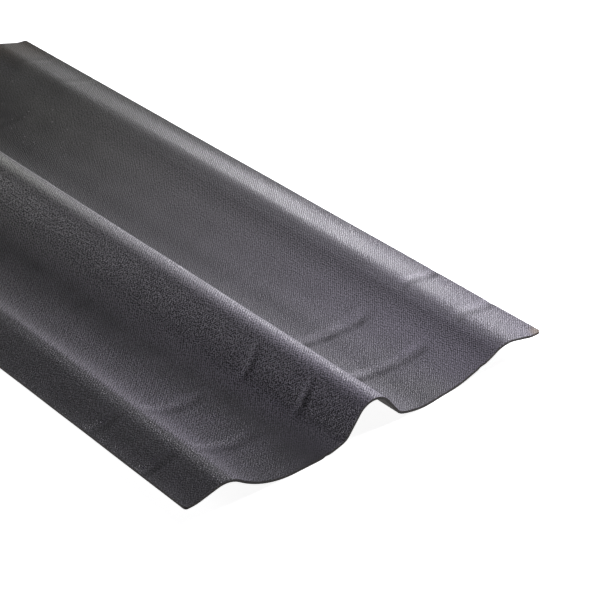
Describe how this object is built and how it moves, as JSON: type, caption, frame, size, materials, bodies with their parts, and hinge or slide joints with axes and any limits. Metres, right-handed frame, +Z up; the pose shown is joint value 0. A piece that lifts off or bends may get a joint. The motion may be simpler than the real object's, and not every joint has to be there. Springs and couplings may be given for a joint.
{
  "type": "roof ridge cap",
  "caption": "Long pressed sheet of black bitumen fibre with a narrow middle crest, broad bowls beside it and low rim crests, laid over a roof's ridge to cover the edges of the roof sheets.",
  "frame": {"origin": "on the floor under the middle of the main crest, halfway along the ridge", "axes": "+X along the ridge, +Y across it, +Z up, with the crest up"},
  "size_m": [1, 0.485, 0.0435],
  "materials": {
    "bitumen_fibre": "satin"
  },
  "bodies": {
    "root": {"ridge_cap": "bitumen_fibre"}
  },
  "joints": []
}
